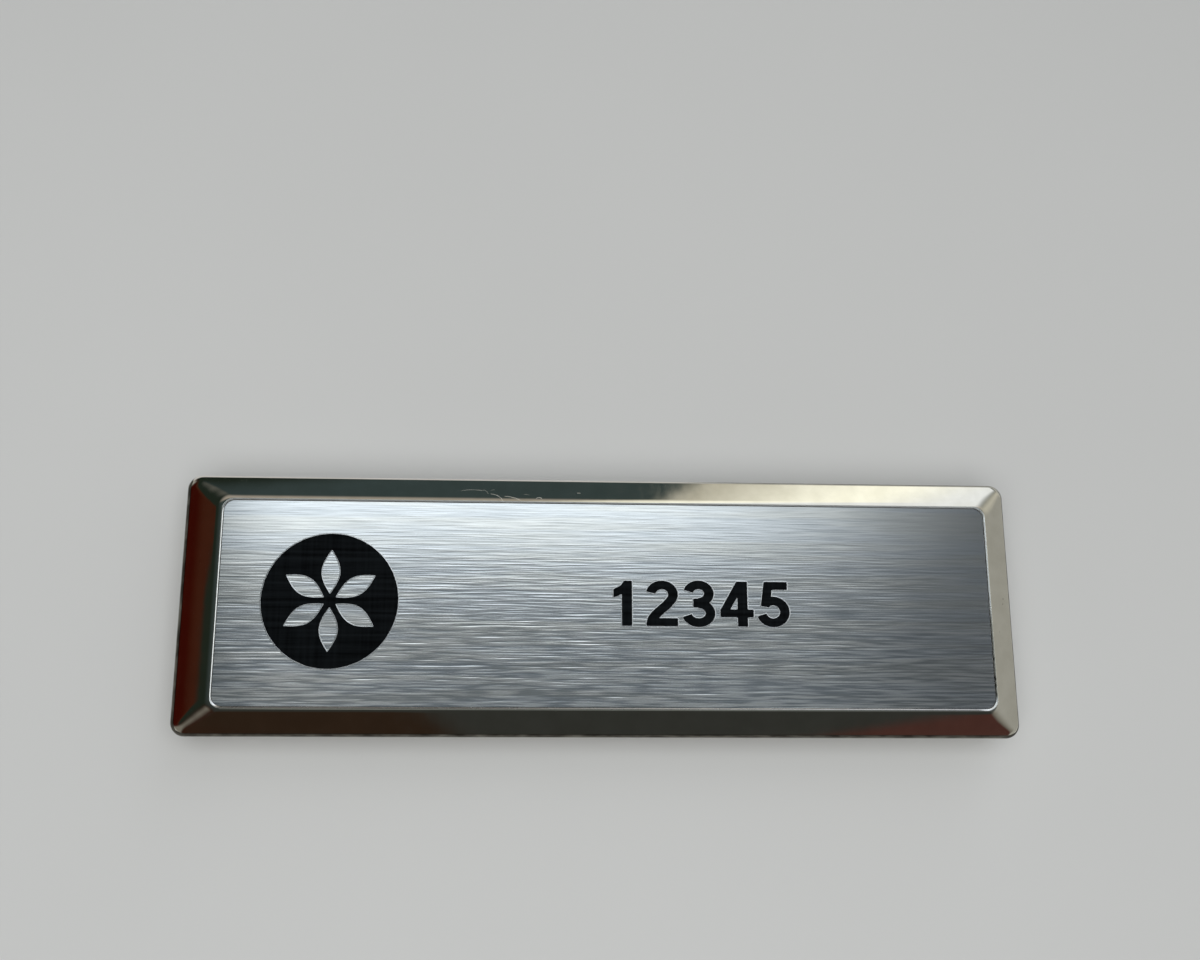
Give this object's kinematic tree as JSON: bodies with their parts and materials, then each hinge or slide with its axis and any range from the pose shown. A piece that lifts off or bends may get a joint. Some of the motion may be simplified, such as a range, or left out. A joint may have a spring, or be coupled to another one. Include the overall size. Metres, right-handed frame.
{
  "type": "name badge",
  "caption": "Long rectangular metal name badge: polished frame with sloping edges round a brushed plate, held to clothing by a magnet bar on its flat back.",
  "frame": {"origin": "under the middle of the frame's outline, on the back face of the magnet bar", "axes": "+X along the badge to the right as it is read, +Y to its top edge, +Z out of its face"},
  "size_m": [0.065, 0.0202, 0.005],
  "materials": {
    "polished_frame": "mirror-polished nickel plate with fine hairline scratches",
    "brushed_plate": "long straight brushing along the badge, semi-bright",
    "magnet_steel": "satin nickel plate, lightly scuffed",
    "ink": "thin black marking, satin"
  },
  "bodies": {
    "root": {"frame": "polished_frame", "plate": "brushed_plate", "magnet_bar": "magnet_steel"}
  },
  "joints": []
}
